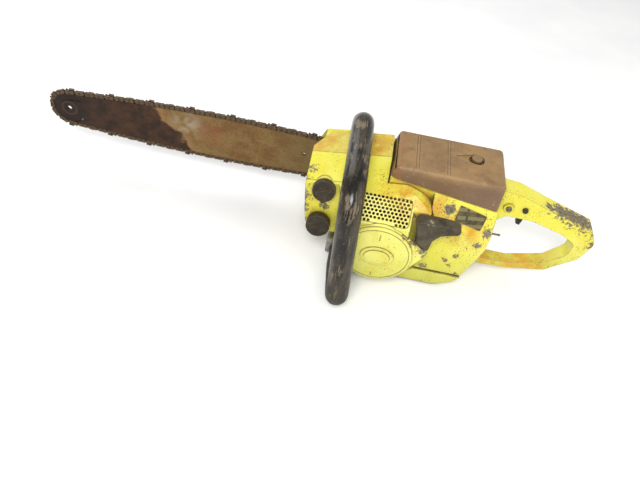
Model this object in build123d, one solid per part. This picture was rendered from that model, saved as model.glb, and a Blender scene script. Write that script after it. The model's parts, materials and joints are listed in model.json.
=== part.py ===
from build123d import *
import os
from math import cos, sin, pi, radians

# Old two-stroke chainsaw with a 16 inch bar.  Millimetres, +X forward along the bar,
# +Y to the starter side, +Z up.  The origin is on the ground under the crankshaft.

# ---- driving dimensions ----
crank_z = 78.0
cylinder_tilt = 28.0
bore_r = 22.0
crank_throw = 16.0
rod_length = 50.0
chamber_r = 41.0
chamber_half = 19.0
case_left = 46.0
case_right = -46.0

fan_face = 70.0
disc_face = 95.0
disc_r = 52.0
flywheel_r = 56.0

cowl_rear = 5.0
cowl_front = 118.0
cowl_top_rear = 182.0
cowl_top_front = 165.0
shroud_side = -58.0

cover_rear = -155.6
cover_front = 3.0
cover_top = 193.0
cover_right = -60.0

tube_r = 16.0
tube_top = 207.0
tube_left = 133.0
tube_foot_left = 147.0
clamp_spots = (27.0, -64.0)
clamp_top = 35.7

bar_y = -86.0
bar_z = 89.0
bar_thickness = 4.8
bar_groove = 1.7
groove_depth = 7.5
nose_x = 527.8
nose_r = 26.0

rivet_pitch = 8.255
drive_link_count = 74
rivet_r = 1.9
pitch_height = 3.6
strap_thickness = 1.3
tooth_count = 8

wall = 3.5
fit = 0.05
gap = 0.3


# ---- helpers ----
def side_plane(y):
    """A plane facing -Y, whose local x and y are world X and Z."""
    return Plane(origin=(0, y, 0), x_dir=(1, 0, 0), z_dir=(0, -1, 0))


def front_plane(x):
    """A plane facing +X, whose local x and y are world Y and Z."""
    return Plane(origin=(x, 0, 0), x_dir=(0, 1, 0), z_dir=(1, 0, 0))


def outline(points, radius=0.0):
    """A closed flat face through the points, with its corners rounded."""
    if radius:
        return make_face(FilletPolyline(*points, radius=radius, close=True))
    return make_face(Polyline(*points, close=True))


def slab(points, y_low, y_high, radius=0.0):
    """A plate whose outline is given in X and Z."""
    return extrude(side_plane(y_high) * outline(points, radius), amount=y_high - y_low)


def bar_stock(points, x_low, x_high, radius=0.0):
    """A length of section whose outline is given in Y and Z."""
    return extrude(front_plane(x_low) * outline(points, radius), amount=x_high - x_low)


def rod_y(radius, y_low, y_high, x=0.0, z=crank_z):
    """A round bar along Y."""
    return extrude(side_plane(y_high) * Pos(x, z) * Circle(radius), amount=y_high - y_low)


def rod_on(plane, radius, start, end):
    """A round bar along a plane's normal, from start to end."""
    return extrude(plane.offset(start) * Circle(radius), amount=end - start)


def rod_between(a, b, radius):
    """A round bar from one point to another."""
    line = Vector(*b) - Vector(*a)
    return rod_on(Plane(origin=a, z_dir=line), radius, 0, line.length)


def block(x_low, x_high, y_low, y_high, z_low, z_high):
    """A plain box between its corners."""
    size = (x_high - x_low, y_high - y_low, z_high - z_low)
    corner = (Align.MIN, Align.MIN, Align.MIN)
    return Pos(x_low, y_low, z_low) * Box(*size, align=corner)


def soften(shape, radius, chosen):
    """The shape with its chosen edges rounded, by less where the full radius won't go."""
    for factor in (1.0, 0.6, 0.3):
        try:
            result = fillet(chosen, radius * factor)
        except Exception:
            continue
        if result.is_valid:
            return result
    return shape


def screw_y(x, z, y_face, head_r=3.6, head=3.0, shank_r=2.0, shank=10.0, out=1):
    """A slotted screw along Y, whose head stands out of a face at y_face."""
    face = Plane(origin=(x, y_face, z), z_dir=(0, out, 0))
    body = rod_on(face, head_r, 0, head) + rod_on(face, shank_r, -shank, 0)
    slot = face.offset(head) * Box(2 * head_r + 2, 0.9, 2.4)
    return body - slot


nodes = {}


# ---- cylinder axis ----
tilt = radians(cylinder_tilt)
axis = Vector(sin(tilt), 0, cos(tilt))
crank_centre = Vector(0, 0, crank_z)
bore_plane = Plane(origin=crank_centre, x_dir=(0, 1, 0), z_dir=axis)
forward = Vector(cos(tilt), 0, -sin(tilt))
deck = 46.0
head_inside = crank_throw + rod_length + 15.5
head_top = head_inside + 11.5
fin_r = 33.0
cooling_room = rod_on(bore_plane, fin_r + 3.0, deck, 150.0)


# ---- crankcase and crank ----
def crankcase():
    """The main casting: crank chamber, cylinder seat, bar pad and handle bosses."""
    case = slab([(-60, 36), (58, 36), (62, 60), (62, 96), (34, 128), (-60, 128)], case_right, case_left, 8)
    case += rod_on(bore_plane, 36, 0, deck)
    case += block(40, 108, bar_y + bar_thickness / 2, case_right, bar_z - 22, bar_z + 22)
    case += block(36, 68, -80, shroud_side - gap, 90, 147) + block(36, 68, -60, case_right + 2, 84, 110)
    case += block(41, 72, clamp_spots[1] - 13, clamp_spots[1] + 13, clamp_top + gap, 69)
    case -= block(-56, -44, case_right + 6, case_left + 1, 44, 122)
    case -= block(48, 102, -76, case_right - 4, bar_z - 24, bar_z - 9)
    case = soften(case, 5, case.edges().filter_by(Axis.Y).group_by(Axis.X)[-1])
    case -= rod_on(bore_plane, 41, deck, 150)
    case -= rod_y(chamber_r, -chamber_half, chamber_half)
    case -= rod_on(bore_plane, 21, 0, deck)
    for side in (-1, 1):
        inner, outer = sorted((side * chamber_half, side * 33))
        case -= rod_y(17.55, inner, outer)
        far = case_left + 1 if side > 0 else case_right - 1
        inner, outer = sorted((side * 33, far))
        case -= rod_y(13, inner, outer)
    for x in stud_places:
        case -= rod_y(4.0, -84, -60, x, bar_z)
    case -= rod_between((70, -72, 70), (109, -72, 70), 2.6)
    return case


stud_places = (62.0, 92.0)


def crankshaft():
    """Two webs and their shafts, with the gap that the rod runs in."""
    shaft = rod_y(8, -113, -5.5) + rod_y(8, 5.5, 66)
    for low, high in ((-18, -5.5), (5.5, 18)):
        web = rod_y(36, low, high)
        cut = side_plane(high) * Pos(34, crank_z + 30) * Circle(20)
        shaft += web - extrude(cut, amount=high - low)
    return shaft


def main_bearings():
    """A ball bearing each side, drawn as races and balls."""
    parts = []
    for low in (20.0, -32.0):
        inner = rod_y(10.5, low, low + 12) - rod_y(8.03, low, low + 12)
        outer = rod_y(17.5, low, low + 12) - rod_y(14.8, low, low + 12)
        parts += [inner, outer]
        for turn in range(9):
            angle = 2 * pi * turn / 9
            parts.append(Pos(12.65 * cos(angle), low + 6, crank_z + 12.65 * sin(angle)) * Sphere(2.1))
    return Compound(children=parts)


def along(distance, across=0.0, y=0.0):
    """A point at a distance from the crank along the cylinder axis."""
    point = crank_centre + axis * distance + forward * across
    return (point.X, y, point.Z)


def ring_y(outer, inner, y_low, y_high, x, z):
    """A flat ring whose axis is Y."""
    return rod_y(outer, y_low, y_high, x, z) - rod_y(inner, y_low, y_high, x, z)


pin_x, _, pin_z = along(crank_throw)
wrist_x, _, wrist_z = along(crank_throw + rod_length)


def connecting_rod():
    """Big end, small end and a tapered shank."""
    rod = rod_y(12, -4.5, 4.5, pin_x, pin_z) + rod_y(8.5, -4.5, 4.5, wrist_x, wrist_z)
    shank = bore_plane.offset(crank_throw) * Rectangle(6, 12)
    tip = bore_plane.offset(crank_throw + rod_length) * Rectangle(6, 8)
    rod += loft([shank, tip])
    rod -= rod_y(7.03, -5, 5, pin_x, pin_z)
    rod -= rod_y(5.03, -5, 5, wrist_x, wrist_z)
    return rod


def piston():
    """A skirt, a crown with two ring grooves, and bosses for the wrist pin."""
    low = crank_throw + rod_length - 14
    body = rod_on(bore_plane, bore_r - 0.06, low, head_inside - 1)
    body -= rod_on(bore_plane, 18, low, head_inside - 7)
    for side in (-1, 1):
        near, far = sorted((side * 8, side * 20))
        body += rod_y(8, near, far, wrist_x, wrist_z) & rod_on(bore_plane, 19, low, head_inside - 2)
    body -= rod_y(5.02, -23, 23, wrist_x, wrist_z)
    for groove in (4.0, 8.0):
        start = head_inside - 1 - groove
        cutter = rod_on(bore_plane, bore_r + 1, start, start + 1.6)
        body -= cutter - rod_on(bore_plane, bore_r - 2, start, start + 1.6)
    return body


def piston_rings():
    """Two spring rings, each split by a narrow end gap."""
    rings = []
    for groove in (4.0, 8.0):
        start = head_inside - 1 - groove + 0.05
        ring = rod_on(bore_plane, bore_r - 0.03, start, start + 1.5)
        ring -= rod_on(bore_plane, bore_r - 1.9, start, start + 1.5)
        notch = bore_plane.offset(start + 0.7) * Pos(0, bore_r) * Box(0.6, 6, 4)
        rings.append(ring - notch)
    return Compound(children=rings)


port_height = 62.0


def cylinder():
    """A finned barrel with its head in one casting, and its two ports."""
    body = rod_on(bore_plane, 26, deck, head_inside + 2) + rod_on(bore_plane, 18, deck, head_top)
    body += extrude(bore_plane.offset(deck) * RectangleRounded(56, 56, 8), amount=6)
    for turn in range(6):
        start = 56 + 5.5 * turn
        body += rod_on(bore_plane, fin_r - max(0, turn - 4) * 3.0, start, start + 2)
    body += rod_between(along(port_height), along(port_height, 50), 13)
    body += rod_between(along(port_height), along(port_height, -36), 12)
    body -= rod_on(bore_plane, bore_r, deck, head_inside)
    body -= rod_on(bore_plane, 12, head_inside, head_inside + 6)
    body -= rod_between(along(port_height), along(port_height, 51), 9)
    body -= rod_between(along(port_height), along(port_height, -37), 8)
    body -= rod_on(plug_plane, 5, -6, 40)
    return body - rod_on(plug_plane, 10, 16.5, 60)


plug_direction = (axis * 0.25 + Vector(0, -1, 0)).normalized()
plug_foot = crank_centre + axis * (head_inside + 5) + Vector(0, -8, 0)
plug_plane = Plane(origin=plug_foot, z_dir=plug_direction)


def spark_plug():
    """Threaded shell, hexagon and white insulator."""
    plug = rod_on(plug_plane, 4.97, 2, 17)
    plug += extrude(plug_plane.offset(17) * RegularPolygon(8, 6), amount=8)
    return plug + rod_on(plug_plane, 5, 25, 34)


def plug_boot():
    """The rubber cap over the plug's insulator."""
    boot = rod_on(plug_plane, 8, 26, 40) - rod_on(plug_plane, 5.03, 25, 35)
    return soften(boot, 2, boot.edges().sort_by(SortBy.LENGTH)[-1:])


def muffler():
    """A pressed steel box with an exhaust slot row in its front face."""
    box = block(78, 111, -45, 12, 92, 148)
    box = soften(box, 5, box.edges())
    inside = block(80, 109, -43, 10, 94, 146)
    port = rod_between(along(port_height, 30), along(port_height, 60), 14)
    box -= inside
    box -= port
    for turn in range(5):
        box -= block(108, 112, -39 + 9 * turn, -34 + 9 * turn, 104, 136)
    return box


nodes["crankcase"] = crankcase()
nodes["crankshaft"] = crankshaft()
nodes["main_bearings"] = main_bearings()
nodes["connecting_rod"] = connecting_rod()
nodes["crank_and_wrist_pins"] = Compound(children=[
    rod_y(7, -5.3, 5.3, pin_x, pin_z), ring_y(5, 3, -19, 19, wrist_x, wrist_z)])
nodes["piston"] = piston()
nodes["piston_rings"] = piston_rings()
nodes["cylinder"] = cylinder()
nodes["spark_plug"] = spark_plug()
nodes["plug_boot"] = plug_boot()
nodes["muffler"] = muffler()


# ---- flywheel and ignition ----
def flywheel():
    """A disc with a hub and a ring of fan blades."""
    wheel = rod_y(flywheel_r, 50, 57) + rod_y(13, 47, 63) - rod_y(8.03, 46, 67)
    blades = 14
    for turn in range(blades):
        angle = 360 * turn / blades
        blade = block(28, flywheel_r - 2, 57, 64, -1.2, 1.2)
        wheel += Pos(0, 0, crank_z) * Rot(0, angle, 0) * blade
    return wheel


def starter_pawls():
    """Two sprung pawls on the flywheel's face."""
    pawls = []
    for side in (-1, 1):
        blade = [(side * 16, crank_z), (side * 24, crank_z), (side * 17, crank_z + side * 16)]
        pawls.append(rod_y(4, 57, 66, side * 20, crank_z) + slab(blade, 64.2, 66))
    return pawls


def ignition_coil():
    """A laminated core and a moulded coil beside the flywheel's rim."""
    core = slab([(33, 126.5), (50, 112), (54, 118), (38, 132)], 49, 56)
    return core + slab([(37, 131), (53, 118), (56, 131), (46, 142)], 47.5, 57.5)


nodes["flywheel"] = flywheel()
nut = extrude(side_plane(69.5) * Pos(0, crank_z) * RegularPolygon(10, 6), amount=6.4)
nut -= rod_y(8.02, 60, 66.2)
nodes["flywheel_nut_and_pawls"] = Compound(children=[nut] + starter_pawls())
nodes["ignition_coil"] = ignition_coil()


# ---- filler mouths on the front tank ----
cap_lean = 12.0
cap_normal = (0, cos(radians(cap_lean)), sin(radians(cap_lean)))
fuel_mouth = Plane(origin=(90, 49.5, 141), x_dir=(-1, 0, 0), z_dir=cap_normal)
oil_mouth = Plane(origin=(90, 55, 81), x_dir=(-1, 0, 0), z_dir=cap_normal)
neck_r = 12.0
boss_r = 15.5
spot_face_r = 22.2
tab_reach = 20.0


# ---- fan housing and starter ----
slope = 0.42
housing_screw_spots = ((51.5, 105), (48, 132), (-50, 134))


def cowl_height(x):
    """Height of the seam between the cowl and the shroud."""
    share = (x - cowl_rear) / (cowl_front - cowl_rear)
    return cowl_top_rear + (cowl_top_front - cowl_top_rear) * share


def below_cowl(sunk=0.0):
    """Everything under the sloping top of the left side."""
    along_x = Vector(cowl_front - cowl_rear, 0, cowl_top_front - cowl_top_rear).normalized()
    down_y = Vector(0, 1, -slope)
    top = Plane(origin=(0, 0, cowl_height(0) - sunk), x_dir=along_x, z_dir=along_x.cross(down_y))
    return extrude(top * Rectangle(600, 600), amount=-300)


def scroll_face(shrink=0.0):
    """The fan scroll's outline in X and Z."""
    outer = 94 - shrink
    low = 63 - shrink
    round_top = Pos(0, crank_z) * Circle(outer)
    tall = outline([(-62 + shrink, 40), (62 - shrink, 40), (62 - shrink, 200), (-62 + shrink, 200)])
    lower = Pos(0, crank_z) * Circle(low)
    keep = outline([(-62 + shrink, 0), (62 - shrink, 0), (62 - shrink, 90), (-62 + shrink, 90)])
    return (round_top & tall & outline([(-200, crank_z), (200, crank_z), (200, 300), (-200, 300)])) \
        + (lower & keep)


grille_pitch = 5.6
grille_rows = 8
panel_size = (74.0, 41.0)
hood_reach = 220.0
hood_rear, hood_front, hood_face = -37.0, 42.0, 90.5
panel_plane = Plane(origin=(2.5, 74.0, hood_reach - 74.0), x_dir=(1, 0, 0), z_dir=(0, 1, 1))


def under_lean(sunk=0.0):
    """Everything below the 45 degree face that leans back from the starter to the cowl's top."""
    top = Plane(origin=(0, 70, hood_reach - 70 - sunk * 2 ** 0.5), x_dir=(1, 0, 0), z_dir=(0, 1, 1))
    return extrude(top * Rectangle(600, 600), amount=-300)


def hood():
    """The wedge that carries the leaning face out to the starter cover's rim."""
    section = [(62, hood_reach - 62), (hood_face, hood_reach - hood_face), (hood_face, 112),
               (fan_face - wall, 112), (fan_face - wall, 148), (62, 153)]
    return bar_stock(section, hood_rear, hood_front)


def grille_holes():
    """Hexagon air holes in the leaning face, above the starter cover's rim."""
    spots = []
    for row in range(grille_rows):
        for column in range(-6, 7):
            x = column * grille_pitch + (row % 2) * grille_pitch / 2
            down = (row - (grille_rows - 1) / 2) * grille_pitch * 0.9
            over_crank = panel_plane.origin.Z - down / 2 ** 0.5 - crank_z
            from_crank = ((x + panel_plane.origin.X) ** 2 + over_crank ** 2) ** 0.5
            if from_crank > 58.0 and abs(x) < panel_size[0] / 2 - 3:
                spots.append((x, down))
    holes = Sketch() + [Pos(x, down) * RegularPolygon(2.1, 6) for x, down in spots]
    return extrude(panel_plane.offset(1) * holes, amount=-22)


def panel_groove():
    """The shallow line round the panel of air holes."""
    width, height = panel_size
    ring = RectangleRounded(width, height, 7) - RectangleRounded(width - 2.0, height - 2.0, 6)
    return extrude(panel_plane * ring, amount=-0.7)


def starter_outline():
    """The starter cover's outline in X and Z: a disc with an arm to the rear."""
    arm = Polyline((-40, 116), (-62, 101), (-70, 95), (-67, 86), (-46, 48))
    return make_face(make_hull((Pos(0, crank_z) * Circle(54)).edges() + arm.edges()))


def fan_housing():
    """The blower scroll and the cowl that leads its air over the cylinder."""
    outer = extrude(side_plane(fan_face) * scroll_face(), amount=fan_face)
    outer += block(cowl_rear, cowl_front, 0, 46, 120, 200)
    outer &= below_cowl()
    outer &= under_lean()
    rim = outer.edges().group_by(Axis.Y)[-1]
    outer = soften(outer, 7, rim)
    outer += hood()
    inner = extrude(side_plane(fan_face - wall) * scroll_face(wall), amount=fan_face)
    inner += block(cowl_rear - 1, cowl_front + 1, -1, 50, 100, 200)
    inner &= below_cowl(3.0)
    inner &= under_lean(wall)
    shell = outer - inner
    shell -= extrude(side_plane(hood_face + 1) * offset(starter_outline(), 0.5), amount=hood_face + 1 - fan_face)
    shell -= block(-70, 70, -1, case_left + gap, 0, 128 + gap)
    shell -= block(-100, cowl_rear, -1, 39.5, 120, 200)
    shell -= block(62, cowl_front + 1, 43, 60, 90, 200)
    shell -= rod_y(45, 60, 75)
    for x, z in housing_screw_spots:
        shell -= rod_y(2.03, 60, 75, x, z)
    shell -= rod_on(fuel_mouth, boss_r + gap, -25, 10)
    shell -= panel_groove()
    return shell - grille_holes()


def starter_cover():
    """The round starter housing, with the arm that guides the rope out."""
    body = extrude(side_plane(91) * starter_outline(), amount=91 - fan_face)
    rim = body.edges().group_by(Axis.Y)[-1]
    body = soften(body, 2.5, rim)
    body += rod_y(disc_r - 1, 91, disc_face)
    body = soften(body, 1.5, body.edges().group_by(Axis.Y)[-1])
    body -= rod_y(48, fan_face, 90.8)
    body += rod_y(7, 72, 91)
    body -= rod_y(2, 71, 85)
    body -= slab([(-60.5, 94), (-53.5, 94), (-53.5, 120), (-60.5, 120)], 77, 84)
    body -= slab([(-60.5, 85), (-40, 85), (-40, 96), (-60.5, 96)], 77, 84)
    body -= ring_y(47.5, 46.5, disc_face - 0.7, disc_face + 1, 0, crank_z)
    for z, height in ((crank_z + 34, 11), (crank_z - 40, 6)):
        body -= block(-0.7, 0.7, disc_face - 0.7, disc_face + 1, z - height / 2, z + height / 2)
    return body


def starter_pulley():
    """A grooved rope pulley that turns on the cover's post."""
    pulley = rod_y(42, 75, 76.5) + rod_y(42, 85.5, 87) + rod_y(30, 76, 86) + rod_y(16, 71, 76)
    return pulley - rod_y(7.05, 70, 88)


def recoil_spring():
    """A flat spiral spring, wound between the pulley and the cover."""
    turns = []
    for turn in range(7):
        outer = 43 - turn * 4.2
        turns.append(rod_y(outer, 88, 90.6) - rod_y(outer - 1.2, 88, 90.6))
    rings = turns[0]
    for ring in turns[1:]:
        rings += ring
    return rings + block(16.5, 42.5, 88, 90.6, crank_z - 0.8, crank_z + 0.8)


grip_axis = Vector(-0.17, 0, 0.985).normalized()
rope_exit = Vector(-57, 80.5, 105)


def starter_grip():
    """An L-shaped pull: a leg over the rope and a bar for the fingers."""
    form = [(-42, 147), (-47, 153), (-76, 154), (-100, 152), (-105, 146), (-103, 141), (-80, 133),
            (-71.5, 121), (-69.5, 98.5), (-49, 112.5)]
    rounding = [4, 4, 20, 4, 3, 2.5, 10, 14, 2.5, 6]
    grip = extrude(side_plane(93) * make_face(FilletPolyline(*form, radius=rounding, close=True)), amount=20)
    grip = soften(grip, 5, grip.edges().group_by(Axis.Y)[-1])
    grip = soften(grip, 3, grip.edges().group_by(Axis.Y)[0])
    plane = Plane(origin=rope_exit, z_dir=grip_axis)
    return grip - rod_on(plane, 2.3, -5, 30)


def starter_rope():
    """The rope's straight end, from inside the arm into the grip."""
    return rod_on(Plane(origin=rope_exit, z_dir=grip_axis), 2.2, -8, 29)


nodes["fan_housing"] = fan_housing()
nodes["starter_cover"] = starter_cover()
oval = side_plane(disc_face + 1.6) * Pos(-2, crank_z - 2) * Ellipse(24, 18)
inner_oval = side_plane(disc_face + 3.0) * Pos(-2, crank_z - 2) * Ellipse(18.5, 13)
nodes["starter_emblem"] = extrude(oval, amount=1.6) + extrude(inner_oval, amount=3.0)
nodes["starter_pulley"] = starter_pulley()
nodes["rope_coil"] = rod_y(38.5, 76.6, 85.4) - rod_y(30.05, 76.6, 85.4)
nodes["recoil_spring"] = recoil_spring()
nodes["starter_grip"] = starter_grip()
nodes["starter_rope"] = starter_rope()


# ---- front tank, caps and cylinder shroud ----


def front_tank():
    """One casting with the fuel filler above and the chain oil chamber below."""
    profile = [(62.5, 62), (100, 62), (110, 74), (114, 100), (118, 150), (62.5, 158)]
    body = slab(profile, 14, 50, 5)
    body &= below_cowl()
    body = soften(body, 5, body.edges().group_by(Axis.Y)[-1])
    body &= below_cowl(3.8) + (below_cowl() & block(0, 200, 43 + gap, 100, 0, 300))
    for mouth in (fuel_mouth, oil_mouth):
        body += rod_on(mouth, boss_r, -16, -2.5)
    body -= cooling_room
    body -= block(70, 105, 20, 38, 108, 138) - rod_on(bore_plane, fin_r + 7, 0, 150)
    body -= block(72, 100, 20, 46, 68, 100)
    for mouth in (fuel_mouth, oil_mouth):
        body -= rod_on(mouth, neck_r, -24, 5)
        body -= rod_on(mouth, neck_r + 3 + gap, -2.5, 10)
        body -= rod_on(mouth, spot_face_r, -gap, 20)
    return body


def filler_gasket(mouth):
    """The seal ring and threaded plug that stop a filler neck."""
    ring = rod_on(mouth, neck_r + 3, -2.5, 0) - rod_on(mouth, 5, -3, 1)
    plug = rod_on(mouth, neck_r - gap, -12, -2.5) - rod_on(mouth, 5, -13, 0)
    return ring + plug


def filler_cap(mouth, radius, height, tab):
    """A ribbed cap with a finger bar across it, and a pointed tab at its edge if it has one."""
    cap = rod_on(mouth, radius, 0.0, height)
    if tab:
        tip = Pos(0, -tab_reach) * Circle(1.5)
        cap += extrude(mouth * make_face(make_hull(Circle(radius - 1).edges() + tip.edges())), amount=4)
    for turn in range(24):
        spot = mouth * Rot(0, 0, turn * 15) * Pos(radius + 0.4, 0, height / 2)
        cap -= spot * Box(1.6, 1.8, height + 1)
    cap = soften(cap, 1.5, cap.edges().filter_by(GeomType.CIRCLE).sort_by(Axis.Y)[-1:])
    cap += mouth * Pos(0, 0, height + 1) * Rot(0, 0, 25) * Box(radius * 1.3, 5, 3)
    return cap + rod_on(mouth, 5 - fit, -11, 0)


def cylinder_shroud():
    """The top cowl over the cylinder, grooved where the front handle passes."""
    points = [(cowl_rear, cowl_top_rear), (cowl_front, cowl_top_front), (cowl_front, 112), (78, 112),
              (60, 130), (cowl_rear, 130)]
    inner = [(cowl_rear + 3, cowl_top_rear - 3), (cowl_front - 3, cowl_top_front - 3),
             (cowl_front - 3, 100), (cowl_rear + 3, 100)]
    body = slab(points, shroud_side, -gap)
    body = soften(body, 5, body.edges().group_by(Axis.Y)[0])
    body -= slab(inner, shroud_side + 3, 1)
    body -= block(cowl_front - 8, cowl_front + 1, -46, 8, 104, 142)
    corner = [(cowl_front + 1, -12), (cowl_front + 1, shroud_side - 1), (92, shroud_side - 1)]
    body -= extrude(Plane.XY.offset(100) * make_face(Polyline(*corner, close=True)), amount=100)
    body -= block(cowl_rear - 1, cowl_rear + 4, -36, 1, 100, 166)
    body -= rod_on(plug_plane, 12, 20, 90)
    body -= rod_between(along(port_height), along(port_height, -40), 14)
    for turn in range(4):
        body -= block(14 + turn * 7, 17 + turn * 7, shroud_side - 1, shroud_side + 6, 140, 162)
    return body


def handle_route():
    """Centre line of the front handle: up the right side, over, down the left and back under."""
    return FilletPolyline((55, -72, 147), (55, -72, tube_top), (51, tube_left, tube_top),
                          (42, tube_foot_left, tube_r), (50, 72, tube_r), (50, -76, tube_r),
                          radius=(59, 52, 29, 60))


def along_handle(radius):
    """A round bar of that radius all along the handle's line."""
    route = handle_route()
    start = Plane(origin=route @ 0, z_dir=route % 0)
    return sweep(start * Circle(radius), path=route)


def handle_clamps():
    """Two saddles that hold the tube's lower run under the crankcase."""
    saddles = []
    for y in clamp_spots:
        saddle = block(27, 73, y - 12, y + 12, 6, clamp_top)
        saddle = soften(saddle, 5, saddle.edges().filter_by(Axis.Y))
        saddles.append(saddle - along_handle(tube_r + gap))
    return saddles


nodes["front_handle"] = along_handle(tube_r)
nodes["front_tank"] = front_tank()
nodes["cylinder_shroud"] = cylinder_shroud() - along_handle(tube_r + gap)
nodes["handle_clamp"] = Compound(children=handle_clamps())
for name, mouth, radius, height in (("fuel", fuel_mouth, 16.5, 9.0), ("oil", oil_mouth, 17.5, 12.0)):
    nodes[name + "_gasket"] = filler_gasket(mouth)
    nodes[name + "_cap"] = filler_cap(mouth, radius, height, name == "fuel")


# ---- rear case, tank, filter and carburettor ----
rod_z = 145.0
deck_front = 174.0
deck_rear = 150.0
case_rear = -156.0
case_side = 60.0
case_right_side = -58.0


def deck_height(x):
    """Height of the sloping deck under the filter cover."""
    return deck_front + (deck_rear - deck_front) * (x - cover_front) / (case_rear - cover_front)


slope_start = 37.5
slope_drop_front = 20.0
slope_drop_rear = 46.0
slope_x_front = -62.5


def slope_point(x, share):
    """A point on the slope beside the filter cover: share 0 at the cover, 1 at the side."""
    along_case = (x - slope_x_front) / (case_rear - slope_x_front)
    drop = slope_drop_front + (slope_drop_rear - slope_drop_front) * along_case
    return Vector(x, slope_start + (case_side - slope_start) * share, deck_height(x) - drop * share)


def slope_plane(x, share):
    """The plane that touches the slope there, with its local x towards the rear."""
    run = slope_point(x - 10, share) - slope_point(x + 10, share)
    fall = slope_point(x, 1) - slope_point(x, 0)
    return Plane(origin=slope_point(x, share), x_dir=run, z_dir=fall.cross(run))


def under_slope(lift=0.0):
    """All the space under the slope's twisted surface, lifted a little."""
    sections = []
    for x in (-40.0, -175.0):
        points = [slope_point(x, -1), slope_point(x, 2)]
        corners = [(point.Y, point.Z + lift) for point in points] + [(points[1].Y, 0), (points[0].Y, 0)]
        sections.append(front_plane(x) * outline(corners))
    return loft(sections, ruled=True)


def rear_case():
    """The rear casting: air box above, tank roof below, and the handle's mounting wall."""
    outer = [(-62.5, 30), (-137, 30), (-149, 66), (case_rear, 92), (case_rear, deck_rear),
             (-62.5, deck_height(-62.5))]
    body = slab(outer, case_right_side, case_side)
    body -= block(-170, -50, slope_start, 70, 60, 230) - under_slope()
    side_edges = body.faces().sort_by(Axis.Y)[-1].edges()
    body = soften(body, 8, side_edges)
    body = soften(body, 5, body.edges().group_by(Axis.Y)[0])
    body -= slab([(-67, 29), (-133, 29), (-145, 66), (-151, 92), (-151, 116), (-67, 116)], -53, 55, 3)
    body -= slab([(-58, 124), (-130, 124), (-140, 130), (-140, 200), (-58, 200)], -40, 28, 3)
    rail_low = 128 + gap
    rails = slab([(-62.5, rail_low), (cover_front, rail_low), (cover_front, deck_front),
                  (-62.5, deck_height(-62.5))], case_right_side, 38)
    rails -= block(-70, 10, -46, 30, 100, 200)
    body += rails
    body -= block(-160, -138, -5, 5, rod_z - 2.5, rod_z + 2.5)
    body -= rod_between((-162, 30, 104), (-150, 30, 104), 4.0)
    body -= rod_between((-162, -30, 128), (-130, -30, 128), 4.05)
    body -= rod_between((-162, -44, 108), (-135, -44, 108), 3.05)
    return body


def rear_tank():
    """The fuel pan that closes the rear case from below, down to the ground."""
    profile = [(20, 0), (-98, 0), (-120, 9), (-135.5, 29.7), (-62.5, 29.7), (-40, 12), (20, 12)]
    body = slab(profile, case_right_side, case_side - 0.5)
    body = soften(body, 7, body.edges().group_by(Axis.Y)[-1].sort_by(Axis.Z)[:3])
    body = soften(body, 5, body.edges().group_by(Axis.Y)[0].sort_by(Axis.Z)[:3])
    return body - slab([(-67, 4), (-97, 4), (-116, 12), (-129, 30), (-67, 30)], -53, 54, 2)


def cover_block(shrink):
    """The filter cover's form, inset all round by shrink."""
    section = [(cover_right + shrink, 130), (cover_right + 3 + shrink, cover_top - shrink),
               (33.5 - shrink, cover_top - shrink), (38 - shrink, 130)]
    form = bar_stock(section, cover_rear + shrink, cover_front - shrink)
    lean = [(cover_front - 5, cover_top + 1), (cover_front + 1, cover_top + 1), (cover_front + 1, 170)]
    return form - slab(lean, -100, 100)


def above_deck(lift=0.0):
    """All the space over the sloping deck."""
    low = [(-200, deck_height(-200) + lift), (50, deck_height(50) + lift), (50, 260), (-200, 260)]
    return slab(low, -100, 100)


knob_x, knob_y = -114.0, -18.0


def filter_cover():
    """The moulded cover, with cross grooves and a dish for its knob."""
    outer = cover_block(0)
    outer = soften(outer, 7, outer.edges().filter_by(Axis.Z, 30) + outer.edges().group_by(Axis.Z)[-1])
    body = outer - cover_block(3)
    body &= above_deck()
    tail = Pos(29, 0) * Circle(1.5)
    dish = Plane(origin=(knob_x, knob_y, cover_top)) * make_face(make_hull(Circle(12).edges() + tail.edges()))
    body += extrude(Plane(origin=(knob_x, knob_y, cover_top - 1)) * Circle(15), amount=-8)
    body -= extrude(dish, amount=-2)
    body -= extrude(Plane(origin=(knob_x, knob_y, cover_top)) * Circle(11), amount=-6)
    body -= extrude(Plane(origin=(knob_x, knob_y, cover_top)) * Circle(3.6), amount=-20)
    for x in (-28, -32, -72, -76):
        body -= block(x - 0.6, x + 0.6, cover_right - 1, 40, cover_top - 0.8, cover_top + 1)
    return body


def filter_knob():
    """The knurled nut that holds the cover to its stud."""
    knob = Plane(origin=(knob_x, knob_y, cover_top - 5.8)) * Circle(7.5)
    body = extrude(knob, amount=8)
    for turn in range(12):
        body -= Pos(knob_x, knob_y, 0) * Rot(0, 0, turn * 30) * Pos(8.2, 0, cover_top) * Box(2, 1.6, 30)
    bore = Plane(origin=(knob_x, knob_y, cover_top - 6)) * Circle(3.05)
    return body - extrude(bore, amount=6)


def air_filter():
    """A pleated element on a base, open where the stud and the carburettor's throat pass."""
    body = block(-134, -66, -38, 26, 150, 180) & above_deck(3)
    for turn in range(8):
        body -= block(-132 + 8 * turn, -129 + 8 * turn, -39, 27, 172, 181)
    body = body - extrude(Plane(origin=(knob_x, knob_y, 140)) * Circle(3.6), amount=60)
    return body


carb_plane = Plane(origin=along(port_height, -36.3), x_dir=(0, 1, 0), z_dir=-forward)


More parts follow.
